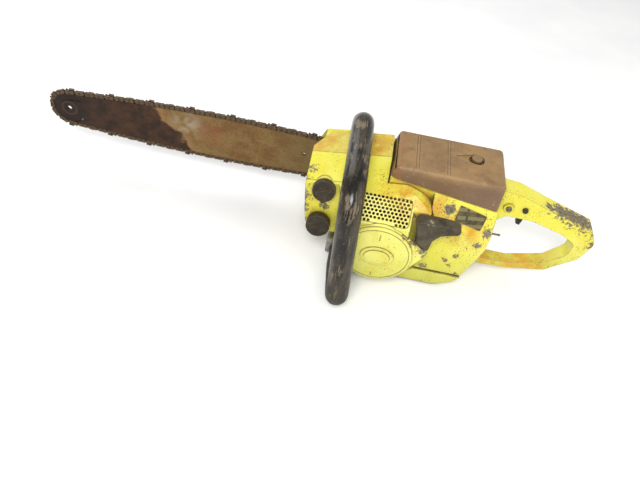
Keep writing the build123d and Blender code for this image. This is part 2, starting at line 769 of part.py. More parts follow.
def carburettor():
    """A cast block with its venturi, diaphragm cover and throttle shaft bore."""
    block_shape = extrude(carb_plane * RectangleRounded(34, 21, 4), amount=26)
    block_shape += extrude(carb_plane.offset(3) * Pos(0, 12) * RectangleRounded(30, 6, 1), amount=20)
    block_shape -= rod_on(carb_plane, 8, -1, 27)
    return block_shape - rod_y(2.05, -30, 30, shaft_spot.X, shaft_spot.Z)


shaft_spot = Vector(*along(port_height, -36.3)) - forward * 12


def throttle_shaft():
    """The shaft with its butterfly and the arm that the rod moves."""
    shaft = rod_y(2, -26, 22, shaft_spot.X, shaft_spot.Z)
    plate = Plane(origin=shaft_spot, x_dir=(0, 1, 0), z_dir=(0.35, 0, 0.94)) * Ellipse(7.2, 7.2)
    shaft += extrude(plate, amount=0.5, both=True)
    arm = slab([(shaft_spot.X - 3, shaft_spot.Z + 2), (shaft_spot.X + 3, shaft_spot.Z + 2),
                (shaft_spot.X + 2, shaft_spot.Z - 7), (shaft_spot.X - 2, shaft_spot.Z - 7)], -25, -23)
    return shaft + arm


nodes["rear_case"] = rear_case()
nodes["rear_tank"] = rear_tank()
nodes["filter_cover"] = filter_cover()
nodes["filter_knob"] = filter_knob()
filter_stud = extrude(Plane(origin=(knob_x, knob_y, 124)) * Circle(3), amount=cover_top - 0.4 - 124)
nodes["air_filter"] = air_filter()
nodes["carburettor"] = carburettor()
nodes["throttle_shaft"] = throttle_shaft()


def rating_plate():
    """A blank plate that follows the slope beside the filter cover."""
    prism = extrude(slope_plane(-120, 0.45) * RectangleRounded(42, 23, 1.5), amount=8, both=True)
    return prism & (under_slope(1.2) - under_slope())


nodes["rating_plate"] = rating_plate()


# ---- rear handle and its controls ----
pivot = (-182.0, 136.0)


def rear_handle():
    """The D handle: a broad front, a tapering grip and a flatter lower strap."""
    form = [(case_rear, 174), (-186, 171), (-224, 157), (-272, 141), (-304, 131), (-315, 108),
            (-306, 72), (-268, 34), (-208, 22), (-128.9, 20), (-136.0, 29.5), (-137.4, 29.5),
            (-138.6, 33.5),
            (-208, 34), (-262, 50), (-288, 76), (-288, 102), (-262, 116), (-216, 129),
            (-176, 130), (-164, 118), (case_rear, 104)]
    rounding = [2, 12, 20, 20, 12, 16, 18, 18, 14, 0.5, 0.4, 0.4, 0.5, 14, 14, 16, 12, 16, 16, 8, 6, 1]
    body = extrude(side_plane(15) * make_face(FilletPolyline(*form, radius=rounding, close=True)), amount=30)
    taper = [(-10, 0), (10, 0), (10, 45), (15, 100), (15, 200), (-15, 200), (-15, 100), (-10, 45)]
    body &= bar_stock(taper, -340, -100)
    edges = body.faces().filter_by(lambda face: abs(face.normal_at().Y) > 0.8).edges()
    body = soften(body, 5, edges)
    body += rod_y(7.5, 12, 18, -174, 146)
    body -= block(-213, -172, -6, 6, 100, 152)
    body -= block(-175, case_rear + 1, -5, 5, rod_z - 2.5, rod_z + 2.5)
    body -= rod_y(2.02, -12, 12, *pivot)
    body -= rod_y(4.05, 6.5, 20, -198, 147)
    return body - rod_y(2.03, 10, 19, -174, 146)


def throttle_trigger():
    """A finger lever that hangs from its pin into the grip's opening."""
    blade = [(-178, 134), (-178, 146.5), (-182, 146.5), (-190, 138), (-207, 131), (-203, 108),
             (-197, 110), (-196, 122)]
    body = slab(blade, -3.5, 3.5, 1.2) + rod_y(5, -3.5, 3.5, *pivot)
    return body - rod_y(2.05, -4, 4, *pivot)


def trigger_spring():
    """A torsion spring's coils, on the pin beside the trigger."""
    return [ring_y(3.6, 2.4, low, low + 0.9, *pivot) for low in (3.8, 4.9)]


def throttle_rod():
    """A bent wire from the trigger's arm to the throttle shaft's arm."""
    end_z = shaft_spot.Z - 5
    points = [(-177, 0, rod_z), (-134, 0, rod_z), (-126, -26.4, rod_z), (-62, -26.4, rod_z),
              (-42, -26.4, end_z), (shaft_spot.X - 1, -26.4, end_z)]
    route = FilletPolyline(*points, radius=5)
    return sweep(Plane(origin=route @ 0, z_dir=route % 0) * Circle(1.1), path=route)


def rod_x(radius, x_low, x_high, y, z):
    """A round bar along X."""
    return rod_on(Plane(origin=(x_low, y, z), z_dir=(1, 0, 0)), radius, 0, x_high - x_low)


def stop_switch_body():
    """The threaded bush that the stop switch's lever stands in."""
    bush = rod_x(3.95, case_rear, -150, 30, 104)
    hexagon = Plane(origin=(case_rear, 30, 104), z_dir=(-1, 0, 0)) * RegularPolygon(6.5, 6)
    return bush + extrude(hexagon, amount=4) - rod_x(3, -162, -151.5, 30, 104)


def stop_switch_lever():
    """A thin toggle with a rounded tip."""
    lever = rod_x(1.4, -173, -154, 30, 104) + rod_y(1.7, 27.6, 32.4, -157, 104)
    return lever + Pos(-173, 30, 104) * Rot(0, 90, 0) * Sphere(1.9)


def choke_knob():
    """A pull knob on its rod."""
    knob = rod_x(7.5, -171, -164, -44, 108)
    knob = soften(knob, 1.5, knob.edges().group_by(Axis.X)[0])
    return knob + rod_x(3, -165, -138, -44, 108)


nodes["rear_handle"] = rear_handle()
nodes["throttle_trigger"] = throttle_trigger()
nodes["trigger_pin_and_spring"] = Compound(children=[rod_y(2, -12, 12, *pivot)] + trigger_spring())
nodes["throttle_rod"] = throttle_rod()
nodes["throttle_latch"] = rod_y(4, 10.3, 18.5, -198, 147)
nodes["stop_switch_body"] = stop_switch_body()
nodes["stop_switch_lever"] = stop_switch_lever()
nodes["choke_knob"] = choke_knob()
nodes["oiler_button"] = rod_x(4, -168, -140, -30, 128)


# ---- guide bar and nose ----
rear_half = 30.0
belly_half = 38.0
belly_x = 235.0


def rail_edges(lift):
    """The nose circle and the bowed rails, moved outward by lift."""
    edges = [(Pos(nose_x, bar_z) * Circle(nose_r + lift)).edge()]
    for side in (-1, 1):
        start = (58, bar_z + side * (rear_half + lift))
        middle = (belly_x, bar_z + side * (belly_half + lift))
        end = (nose_x - 25, bar_z + side * (nose_r + 1.2 + lift))
        edges.append(ThreePointArc(start, middle, end))
    return edges


def bar_profile(inset=0.0):
    """The bar's outline, out to the rails."""
    heel = Polyline((46, bar_z - 18 + inset), (46 + inset / 2, bar_z), (46, bar_z + 18 - inset))
    return make_face(make_hull(rail_edges(-inset) + list(heel.edges())))


def plate(face, y_low, y_high):
    """A flat face in X and Z, given thickness between two Y planes."""
    return extrude(side_plane(y_high) * face, amount=y_high - y_low)


hub_r = 14.0
bush_r = 8.0
bar_low = bar_y - bar_thickness / 2
bar_high = bar_y + bar_thickness / 2
roller_half = 1.5


def guide_bar():
    """The laminated bar: rails, groove, stud slot and the cheeks that hold the nose roller."""
    body = plate(bar_profile(), bar_low, bar_high)
    groove = plate(bar_profile(-2.0), bar_y - bar_groove / 2, bar_y + bar_groove / 2)
    groove -= plate(bar_profile(groove_depth), bar_low, bar_high)
    body -= groove
    body -= rod_y(nose_r + 1.0, bar_low - 1, bar_high + 1, nose_x, bar_z)
    body -= block(nose_x, nose_x + 60, bar_low - 1, bar_high + 1, 0, 200)
    tongue = make_face(make_hull((Pos(nose_x, bar_z) * Circle(hub_r)).edges()
                                 + Polyline((nose_x - 28, bar_z - 17), (nose_x - 29, bar_z),
                                            (nose_x - 28, bar_z + 17)).edges()))
    for low, high in ((bar_low, bar_y - roller_half - 0.15), (bar_y + roller_half + 0.15, bar_high)):
        body += plate(tongue, low, high)
    body -= rod_y(bush_r + 0.02, bar_low - 1, bar_high + 1, nose_x, bar_z)
    slot = [(52, bar_z - 4.1), (102, bar_z - 4.1), (102, bar_z + 4.1), (52, bar_z + 4.1)]
    body -= slab(slot, bar_low - 1, bar_high + 1)
    return body - rod_y(2.5, bar_low - 1, bar_high + 1, 137, bar_z + 2)


def nose_roller():
    """A roller whose rim groove takes the drive links."""
    body = rod_y(nose_r - 0.2, bar_y - roller_half, bar_y + roller_half, nose_x, bar_z)
    rim = rod_y(nose_r + 1, bar_y - bar_groove / 2, bar_y + bar_groove / 2, nose_x, bar_z)
    rim -= rod_y(nose_r - groove_depth, bar_low, bar_high, nose_x, bar_z)
    return body - rim - rod_y(bush_r + fit, bar_low, bar_high, nose_x, bar_z)


nose_bush = ring_y(bush_r, 4.0, bar_low, bar_high, nose_x, bar_z)
nodes["guide_bar"] = Compound(children=[guide_bar(), nose_bush])
nodes["nose_roller"] = nose_roller()


# ---- saw chain ----
sprocket_pitch_r = rivet_pitch / (2 * sin(pi / (2 * tooth_count)))
sprocket_circle = (Pos(0, crank_z) * Circle(sprocket_pitch_r)).edge()
chain_wire = Wire(make_hull(rail_edges(pitch_height) + [sprocket_circle]).edges())
rivet_count = drive_link_count * 2
print("chain loop", round(chain_wire.length, 2), "wanted", round(rivet_count * rivet_pitch, 2))


def rivet_spot(number):
    """A rivet's place on the pitch line; the line runs back along the top, forward below."""
    point = chain_wire.position_at((number % rivet_count) / rivet_count)
    return Vector(point.X, bar_y, point.Y)


def link_plane(number):
    """The plane midway between two rivets, with x along the chain's travel and y outward."""
    here = rivet_spot(number)
    there = rivet_spot(number + 1)
    run = (here - there).normalized()
    out = Vector(-run.Z, 0, run.X)
    return Plane(origin=(here + there) * 0.5, x_dir=run, z_dir=run.cross(out))


half = rivet_pitch / 2
link_half = 0.75
strap_outer = link_half + strap_thickness


def link(number, points, low, high):
    """A chain link's plate, with its two rivet holes."""
    face = make_face(Polyline(*points, close=True))
    face -= Pos(half, 0) * Circle(rivet_r + fit)
    face -= Pos(-half, 0) * Circle(rivet_r + fit)
    return extrude(link_plane(number).offset(low) * face, amount=high - low)


drive_outline = [(-6.9, 0), (-5.4, 2.8), (5.4, 2.8), (6.9, 0), (6.0, -3.6), (2.4, -9.8), (-3.2, -9.0),
                 (-6.0, -3.6)]
strap_outline = [(-7.4, 0), (-6.4, 3.4), (-1.6, 2.9), (1.6, 2.9), (6.4, 3.4), (7.4, 0), (6.1, -3.4),
                 (-6.1, -3.4)]
cutter_outline = [(-7.4, 0), (-7.2, 4.7), (0.8, 5.3), (1.6, 3.2), (3.6, 2.8), (4.6, 4.6), (6.6, 4.2),
                  (7.4, 0), (6.1, -3.4), (-6.1, -3.4)]


def chain():
    """Drive links, tie straps, cutters left and right in turn, and their rivets."""
    drive, straps, cutters, rivets = [], [], [], []
    for number in range(drive_link_count):
        drive.append(link(2 * number, drive_outline, -link_half, link_half))
        between = 2 * number + 1
        cutter_side = (0, 1, 0, -1)[number % 4]
        for side in (-1, 1):
            low, high = sorted((side * link_half, side * strap_outer))
            if side != cutter_side:
                straps.append(link(between, strap_outline, low, high))
                continue
            side_plate = link(between, cutter_outline, low, high)
            low, high = sorted((side * -0.5, side * (strap_outer + 1.1)))
            top = make_face(Polyline((-7.2, 3.7), (-7.2, 4.7), (0.8, 5.3), (0.8, 4.3), close=True))
            cutters.append(side_plate + extrude(link_plane(between).offset(low) * top, amount=high - low))
    for number in range(rivet_count):
        spot = rivet_spot(number)
        rivet = rod_y(rivet_r, bar_y - strap_outer, bar_y + strap_outer, spot.X, spot.Z)
        for side in (-1, 1):
            low, high = sorted((side * strap_outer, side * (strap_outer + 0.5)))
            rivet += rod_y(rivet_r + 0.6, bar_y + low, bar_y + high, spot.X, spot.Z)
        rivets.append(rivet)
    return drive, straps, cutters, rivets


chain_names = ("chain_drive_links", "chain_tie_straps", "chain_cutters", "chain_rivets")
for name, solids in zip(chain_names, chain()):
    nodes[name] = Compound(children=solids)


# ---- clutch, sprocket and cover ----
def clutch_drum():
    """The rim sprocket and the drum that the shoes grip, in one piece."""
    rim_low, rim_high = bar_y - 2.8, bar_y + 2.8
    body = rod_y(10.7, rim_low, rim_high)
    for low, high in ((rim_low, bar_y - 0.95), (bar_y + 0.95, rim_high)):
        body += rod_y(sprocket_pitch_r - 4.0, low, high)
    body += rod_y(13, -92, rim_low) + rod_y(34, -95, -92)
    body += ring_y(34, 31, -110, -95, 0, crank_z)
    for turn in range(6):
        angle = pi * turn / 3
        body -= rod_y(3.5, -96, -91, 22 * cos(angle), crank_z + 22 * sin(angle))
    return body - rod_y(8.06, -111, -80)


def clutch_hub():
    """The driver: a boss with three arms that carry the shoes."""
    hub = rod_y(13, -109, -98)
    for turn in range(3):
        arm = block(0, 18.6, -109, -98, -3.5, 3.5)
        hub += Pos(0, 0, crank_z) * Rot(0, 120 * turn, 0) * arm
    return hub - rod_y(8.02, -110, -97)


def clutch_shoes():
    """Three shoes round the hub, just clear of the drum at idle."""
    ring = ring_y(29.6, 19.2, -109, -98, 0, crank_z)
    for turn in range(3):
        split = block(0, 40, -110, -97, -1.2, 1.2)
        ring -= Pos(0, 0, crank_z) * Rot(0, 120 * turn + 60, 0) * split
    return list(ring.solids())


cover_outline = [(-50, 52), (-28, 36), (30, 37), (112, 46), (118, 68), (118, 106), (108, 128),
                 (60, 136), (10, 138), (-34, 124), (-50, 96)]
cover_low = -118.0


def sprocket_cover():
    """The right side cover: a shell over the clutch, open forward and below for the chain."""
    body = slab(cover_outline, cover_low, -91.5, 8)
    body = soften(body, 5, body.edges().group_by(Axis.Y)[0])
    rear = slab(cover_outline, cover_low + 8, case_right - gap, 8) & block(-60, cowl_rear - gap, -130, 0, 0, 200)
    body += rear - block(-60, 60, case_right_side - gap, 0, 128, 200)
    inset = [(-46.5, 53.5), (-26.5, 39.5), (30, 40.5), (130, 49), (130, 124), (60, 132.5), (10, 134.5),
             (-32, 121), (-46.5, 95)]
    body -= slab(inset, cover_low + 3.2, 0, 6)
    body += block(50, 104, cover_low + 2, bar_low, bar_z - 12, bar_z + 12)
    body -= block(-60, 21, -91.5, 0, 0, 56)
    for x in stud_places:
        body -= rod_y(4.3, -130, -80, x, bar_z)
        body -= rod_y(10, -130, cover_low + 1, x, bar_z)
    for turn in range(5):
        body -= block(-26 + turn * 9, -22 + turn * 9, cover_low - 1, cover_low + 5, 62, 96)
    return body


def bar_studs():
    """The two studs that clamp the bar."""
    return [rod_y(3.95, -127, -60, x, bar_z) for x in stud_places]


def bar_nuts():
    """The two flanged nuts on the studs."""
    nuts = []
    for x in stud_places:
        hexagon = extrude(side_plane(cover_low - 1) * Pos(x, bar_z) * RegularPolygon(7.5, 6), amount=7)
        nut = hexagon + rod_y(9.2, cover_low - 1, cover_low + 1, x, bar_z)
        nuts.append(nut - rod_y(4.0, -130, -110, x, bar_z))
    return nuts


def oil_pump():
    """The pump body under the crankshaft, with its outlet towards the bar."""
    return block(-24, 24, -62, case_right, 44, 64) + block(24, 39, -60, -50, 50, 60)


def housing_screws():
    """The slotted screws that hold the fan housing."""
    return [screw_y(x, z, fan_face, head=2.4, shank=3.4) for x, z in housing_screw_spots]


def slope_screw():
    """The large screw in the slope beside the rating plate."""
    plane = slope_plane(-88, 0.45)
    head = rod_on(plane, 5, gap, 2.6)
    return head - plane.offset(2.6) * Box(12, 1.1, 2.2)


nodes["clutch_drum"] = clutch_drum()
nodes["clutch_hub"] = clutch_hub()
clutch_spring = ring_y(27, 25, -111.2, -109.2, 0, crank_z)
nodes["clutch_shoes"] = Compound(children=clutch_shoes() + [clutch_spring])
nodes["sprocket_cover"] = sprocket_cover()
tension_screw = rod_between((72, -72, 70), (112, -72, 70), 2.5)
nodes["bar_studs_and_nuts"] = Compound(children=bar_studs() + bar_nuts() + [tension_screw])
nodes["oil_pump"] = oil_pump()
boss_screw = screw_y(-174, 146, 18, 4.2, 2.6, 2, 6)
fasteners = housing_screws() + [slope_screw(), boss_screw, filter_stud]
nodes["case_screws"] = Compound(children=fasteners)


# ---- one file for each piece ----
os.makedirs("parts", exist_ok=True)
for name, shape in nodes.items():
    export_step(shape, "parts/" + name + ".step")
print(len(nodes), "pieces")
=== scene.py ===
import json
from math import cos, pi, radians, sin

import bmesh
import bpy
from mathutils import Matrix, Vector


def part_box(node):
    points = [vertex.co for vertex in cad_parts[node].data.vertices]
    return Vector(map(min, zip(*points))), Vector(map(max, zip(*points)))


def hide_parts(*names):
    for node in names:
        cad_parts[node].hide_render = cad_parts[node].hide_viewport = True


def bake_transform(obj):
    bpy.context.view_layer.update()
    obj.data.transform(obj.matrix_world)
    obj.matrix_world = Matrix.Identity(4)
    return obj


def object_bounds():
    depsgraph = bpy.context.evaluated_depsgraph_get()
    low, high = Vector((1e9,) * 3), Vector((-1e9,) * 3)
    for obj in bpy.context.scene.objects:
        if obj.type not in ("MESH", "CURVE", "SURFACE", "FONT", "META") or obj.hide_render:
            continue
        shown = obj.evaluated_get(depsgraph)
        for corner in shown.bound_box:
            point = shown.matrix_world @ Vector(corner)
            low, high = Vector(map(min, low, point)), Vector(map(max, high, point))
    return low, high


# Looks for an old two-stroke chainsaw: worn lemon paint, faded brown filter cover,
# scuffed black sleeve, rusty bar and chain.  Metres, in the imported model's frame.

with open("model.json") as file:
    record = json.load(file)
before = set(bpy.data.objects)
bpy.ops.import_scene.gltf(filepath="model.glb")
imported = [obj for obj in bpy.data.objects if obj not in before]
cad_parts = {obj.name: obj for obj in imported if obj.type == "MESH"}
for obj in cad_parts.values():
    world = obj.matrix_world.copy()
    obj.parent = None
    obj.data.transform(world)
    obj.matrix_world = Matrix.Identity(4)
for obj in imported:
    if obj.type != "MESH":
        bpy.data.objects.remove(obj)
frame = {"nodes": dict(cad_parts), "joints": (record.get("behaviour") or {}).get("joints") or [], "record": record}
packed_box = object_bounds()
nodes = frame["nodes"]
joint_of = {joint["name"]: joint for joint in frame["joints"]}
nose_eye = next(mount["pos_m"] for mount in frame["record"]["mounts"] if mount["name"] == "nose_eye")


# ---- colours ----
def colour(red, green, blue):
    """A screen colour, 0 to 255 each, as the linear values a shader takes."""
    values = []
    for part in (red, green, blue):
        part /= 255
        values.append(part / 12.92 if part <= 0.04045 else ((part + 0.055) / 1.055) ** 2.4)
    return (*values, 1.0)


LEMON = colour(214, 206, 70)
LEMON_PALE = colour(218, 214, 108)
LEMON_DEEP = colour(204, 184, 50)
LEMON_SHADED_GREEN = colour(176, 174, 66)
ORANGE_STAIN = colour(196, 148, 40)
OCHRE = colour(150, 112, 44)
BARE_GREY = colour(132, 124, 104)
BARE_BROWN = colour(98, 84, 60)
GRIME_AND_SHADE = colour(74, 60, 30)
BLACK_DUST = colour(88, 78, 58)

# ---- heights and places that the wear, the tints and the painted shade follow, in metres ----
LOWER_SHADE_HEIGHTS = (0.12, 0.04)
COVER_SHOULDER = (0.190, 0.180)
COVER_FRONT = (-0.006, 0.008)
SLEEVE_DULL = (0.1, 0.06)
OIL_LINE = 0.395
OIL_LINE_LEAN = -0.9
NOSE_DISC = 0.027
HUB_RING = 0.012


# ---- a small builder for procedural materials ----
class Surface:
    """One procedural material, whose patterns are all laid out in the model's own space."""

    def __init__(self, name):
        self.material = bpy.data.materials.new(name)
        self.material.use_nodes = True
        self.tree = self.material.node_tree
        self.shader = self.tree.nodes["Principled BSDF"]
        self.place = self.node("ShaderNodeTexCoord").outputs["Object"]
        split = self.node("ShaderNodeSeparateXYZ")
        self.feed(split.inputs[0], self.place)
        self.x, self.y, self.z = split.outputs

    def node(self, kind, **settings):
        made = self.tree.nodes.new(kind)
        for key, value in settings.items():
            setattr(made, key, value)
        return made

    def feed(self, socket, value):
        if isinstance(value, bpy.types.NodeSocket):
            self.tree.links.new(value, socket)
        else:
            socket.default_value = value

    def math(self, operation, first, second=0.0):
        made = self.node("ShaderNodeMath", operation=operation)
        self.feed(made.inputs[0], first)
        self.feed(made.inputs[1], second)
        return made.outputs[0]

    def add(self, first, second):
        return self.math("ADD", first, second)

    def times(self, first, second):
        return self.math("MULTIPLY", first, second)

    def most(self, first, second):
        return self.math("MAXIMUM", first, second)

    def noise(self, size, detail=4.0, rough=0.6, twist=0.0, stretch=None):
        """Noise from about 0.3 to 0.7, with blotches about that many millimetres across."""
        made = self.node("ShaderNodeTexNoise")
        made.inputs["Scale"].default_value = 1000.0 / size
        made.inputs["Detail"].default_value = detail
        made.inputs["Roughness"].default_value = rough
        made.inputs["Distortion"].default_value = twist
        self.feed(made.inputs["Vector"], self.stretched(stretch) if stretch else self.place)
        return made.outputs["Fac"]

    def stretched(self, scale):
        mapping = self.node("ShaderNodeMapping")
        mapping.inputs["Scale"].default_value = scale
        self.feed(mapping.inputs["Vector"], self.place)
        return mapping.outputs[0]

    def band(self, value, low, high):
        """0 at low, 1 at high, level beyond them."""
        made = self.node("ShaderNodeMapRange", clamp=True)
        self.feed(made.inputs["Value"], value)
        made.inputs["From Min"].default_value = low
        made.inputs["From Max"].default_value = high
        return made.outputs["Result"]

    def mix(self, amount, first, second):
        made = self.node("ShaderNodeMix", data_type="RGBA")
        self.feed(made.inputs[0], amount)
        self.feed(made.inputs[6], first)
        self.feed(made.inputs[7], second)
        return made.outputs[2]

    def distance(self, centre):
        """Metres from a point."""
        made = self.node("ShaderNodeVectorMath", operation="DISTANCE")
        self.feed(made.inputs[0], self.place)
        made.inputs[1].default_value = centre
        return made.outputs["Value"]

    def near(self, centre, radius):
        """1 at a point, falling to 0 at the radius."""
        return self.band(self.distance(centre), radius, radius * 0.2)

    def patches(self, spots):
        total = 0.0
        for centre, radius in spots:
            total = self.most(total, self.near(centre, radius))
        return total

    def rounded(self, radius):
        """The normal as if every edge were rounded to that radius."""
        made = self.node("ShaderNodeBevel", samples=4)
        made.inputs["Radius"].default_value = radius
        return made.outputs[0]

    def edges(self, radius):
        """0 on flats, up to 0.3 on a square edge."""
        made = self.node("ShaderNodeVectorMath", operation="DOT_PRODUCT")
        self.feed(made.inputs[0], self.rounded(radius))
        self.feed(made.inputs[1], self.node("ShaderNodeNewGeometry").outputs["Normal"])
        return self.math("SUBTRACT", 1.0, made.outputs["Value"])

    def hollows(self, reach):
        """0 in the open, towards 1 deep in a corner."""
        made = self.node("ShaderNodeAmbientOcclusion", samples=6)
        made.inputs["Distance"].default_value = reach
        return self.math("SUBTRACT", 1.0, made.outputs["AO"])

    def finish(self, base, rough, metal=0.0, height=None, strength=0.3, depth=0.0004, soft=0.0006,
               sheen=0.5):
        """Connects colour, roughness, metal and a bump over softly rounded edges."""
        self.shader.inputs["Specular IOR Level"].default_value = sheen
        self.feed(self.shader.inputs["Base Color"], base)
        self.feed(self.shader.inputs["Roughness"], rough)
        self.feed(self.shader.inputs["Metallic"], metal)
        normal = self.rounded(soft)
        if height is not None:
            bump = self.node("ShaderNodeBump")
            bump.inputs["Strength"].default_value = strength
            bump.inputs["Distance"].default_value = depth
            self.feed(bump.inputs["Height"], height)
            self.feed(bump.inputs["Normal"], normal)
            normal = bump.outputs[0]
        self.feed(self.shader.inputs["Normal"], normal)
        return self.material


# ---- the materials ----
def worn_paint(name, tone=LEMON, chips=(), stains=(), wear=1.0, dirt=1.0, bald=0.66):
    """Gloss lemon paint: faded, stained, chipped through on its edges and at named places."""
    s = Surface(name)
    broad = s.noise(80, 3)
    grain = s.noise(4.5, 8, 0.7, 0.5)
    base = s.mix(s.times(s.band(broad, 0.42, 0.6), 0.55), tone, LEMON_PALE)
    base = s.mix(s.times(s.band(s.noise(30, 5), 0.5, 0.7), 0.55), base, LEMON_DEEP)
    # Painted shade: the paint turns darker and greener towards the bottom.
    low = s.band(s.add(s.z, s.times(broad, 0.06)), *LOWER_SHADE_HEIGHTS)
    base = s.mix(s.times(low, 0.85), base, LEMON_SHADED_GREEN)
    stained = s.times(s.patches(stains), s.band(s.noise(16, 6), 0.36, 0.6))
    base = s.mix(stained, base, ORANGE_STAIN)
    groove = s.band(s.add(s.hollows(0.003), s.times(s.noise(7, 5), 0.5)), 0.5, 0.95)
    base = s.mix(s.times(groove, 0.8), base, OCHRE)
    # Grime and painted shade: hollows within 12 mm, and patchy grime beyond them, are mixed towards dark brown.
    hollow = s.hollows(0.012)
    film = s.band(s.add(hollow, s.times(s.noise(12, 6), 0.7)), 0.55, 1.05)
    base = s.mix(s.times(film, 0.7 * dirt), base, GRIME_AND_SHADE)
    freckle = s.band(s.add(s.noise(2.2, 3), s.times(s.noise(35), 0.35)), 0.8, 0.86)
    base = s.mix(s.times(freckle, 0.8 * dirt), base, GRIME_AND_SHADE)
    zone = s.patches(chips)
    worn_edge = s.add(s.add(s.edges(0.002), s.times(grain, 0.6 * wear)), s.times(zone, 0.14))
    field = s.add(s.times(zone, bald), s.times(grain, 2.0))
    bare = s.most(s.band(worn_edge, 0.53, 0.55), s.band(field, 1.5, 1.54))
    rim = s.most(s.band(worn_edge, 0.5, 0.55), s.band(field, 1.44, 1.52))
    base = s.mix(s.times(rim, 0.6), base, OCHRE)
    base = s.mix(bare, base, s.mix(s.band(s.noise(3, 5), 0.46, 0.58), BARE_GREY, BARE_BROWN))
    rough = s.add(s.times(bare, 0.2), s.add(s.times(film, 0.25), s.times(s.noise(20), 0.35)))
    height = s.add(s.times(bare, -1.0), s.times(s.noise(1.8, 2), 0.12))
    return s.finish(base, s.add(rough, 0.16), s.times(bare, 0.35), height, 0.5, 0.0003, sheen=0.35)


def faded_moulding(name, light=colour(140, 110, 70), deep=colour(118, 92, 60)):
    """Brown plastic, lighter and patchy on top, darker and rosier below, with painted highlights on its edges."""
    s = Surface(name)
    base = s.mix(s.band(s.noise(46, 5), 0.4, 0.6), light, deep)
    cloud = s.band(s.noise(14, 6, 0.7), 0.45, 0.7)
    base = s.mix(s.times(cloud, 0.5), base, colour(150, 120, 80))
    dark = s.band(s.noise(24, 6, 0.7, 0.6), 0.54, 0.68)
    base = s.mix(s.times(dark, 0.55), base, colour(92, 70, 46))
    side = s.band(s.z, *COVER_SHOULDER)
    base = s.mix(s.times(side, 0.75), base, colour(104, 80, 62))
    front = s.band(s.add(s.x, s.times(s.noise(10, 5), 0.02)), *COVER_FRONT)
    base = s.mix(s.times(front, 0.7), base, colour(132, 88, 46))
    # Painted highlight: the edges are mixed towards a pale tan.
    edge = s.band(s.add(s.edges(0.003), s.times(s.noise(7, 5), 0.3)), 0.2, 0.3)
    base = s.mix(s.times(edge, 0.7), base, colour(168, 140, 100))
    scratch = s.band(s.noise(3, 2, 0.5, 0.6, (1.0, 9.0, 1.0)), 0.66, 0.7)
    base = s.mix(s.times(scratch, 0.5), base, colour(176, 150, 112))
    # Grime and painted shade: hollows within 10 mm, and patchy grime beyond them, are mixed towards dark brown.
    film = s.band(s.add(s.hollows(0.01), s.times(s.noise(8, 5), 0.6)), 0.55, 1.05)
    base = s.mix(s.times(film, 0.7), base, colour(58, 44, 30))
    freckle = s.band(s.noise(2.2, 3), 0.66, 0.71)
    base = s.mix(s.times(freckle, 0.6), base, colour(70, 50, 32))
    height = s.add(s.times(s.noise(1.2, 3), 0.4), s.times(scratch, -0.4))
    return s.finish(base, s.add(0.26, s.times(s.noise(18), 0.4)), 0.0, height, 0.35, 0.0002, sheen=0.4)


def black_moulding(name, dust=0.5, worn=(), light=colour(46, 40, 30), deep=colour(26, 23, 18)):
    """Black plastic gone grey with dust and handling, and paler where it is worn."""
    s = Surface(name)
    base = s.mix(s.band(s.noise(22, 5), 0.36, 0.64), deep, light)
    rubbed = s.times(s.band(s.add(s.edges(0.003), s.times(s.noise(6, 6), 0.34)), 0.2, 0.34), dust)
    base = s.mix(rubbed, base, BLACK_DUST)
    haze = s.times(s.band(s.noise(9, 7, 0.75), 0.5, 0.66), 0.6 * dust)
    base = s.mix(haze, base, BLACK_DUST)
    pale = s.band(s.add(s.times(s.patches(worn), 0.7), s.times(s.noise(4, 7, 0.7), 2.0)), 1.5, 1.66)
    base = s.mix(s.times(pale, 0.8), base, colour(150, 138, 112))
    film = s.band(s.add(s.hollows(0.008), s.times(s.noise(6, 5), 0.7)), 0.5, 1.0)
    base = s.mix(s.times(film, 0.5 * dust), base, colour(84, 70, 46))
    freckle = s.band(s.noise(2.0, 3), 0.64, 0.7)
    base = s.mix(s.times(freckle, 0.5 * dust), base, colour(120, 106, 80))
    rough = s.add(0.3, s.times(s.noise(12, 5), 0.45))
    return s.finish(base, rough, 0.0, s.noise(1.5, 4), 0.35, 0.0003, sheen=0.25)


def scuffed_sleeve():
    """The handle's black sleeve: glossy, with grey-brown scuffs and rubbed bands."""
    s = Surface("scuffed_sleeve")
    along = (1.4, 0.22, 0.22)
    streak = s.noise(9, 7, 0.7, 0.6, along)
    base = s.mix(s.band(s.noise(40, 4), 0.4, 0.62), colour(14, 13, 10), colour(30, 26, 19))
    haze = s.band(s.noise(16, 6, 0.65, 0.4, along), 0.46, 0.6)
    base = s.mix(s.times(haze, 0.6), base, colour(78, 68, 50))
    scuff = s.band(s.add(streak, s.times(s.noise(45), 0.7)), 0.9, 0.98)
    base = s.mix(s.times(scuff, 0.7), base, colour(124, 110, 88))
    nick = s.band(s.noise(2.6, 4, 0.7), 0.64, 0.7)
    base = s.mix(s.times(nick, 0.6), base, colour(150, 136, 110))
    low = s.band(s.add(s.z, s.times(s.noise(20), 0.03)), *SLEEVE_DULL)
    base = s.mix(s.times(low, 0.45), base, colour(56, 54, 44))
    rough = s.add(s.add(0.1, s.times(low, 0.4)), s.add(s.times(scuff, 0.3), s.times(s.noise(25), 0.2)))
    height = s.add(s.times(scuff, -0.5), s.times(s.noise(14, 3), 0.8))
    return s.finish(base, rough, 0.0, height, 0.45, 0.0006, sheen=0.3)


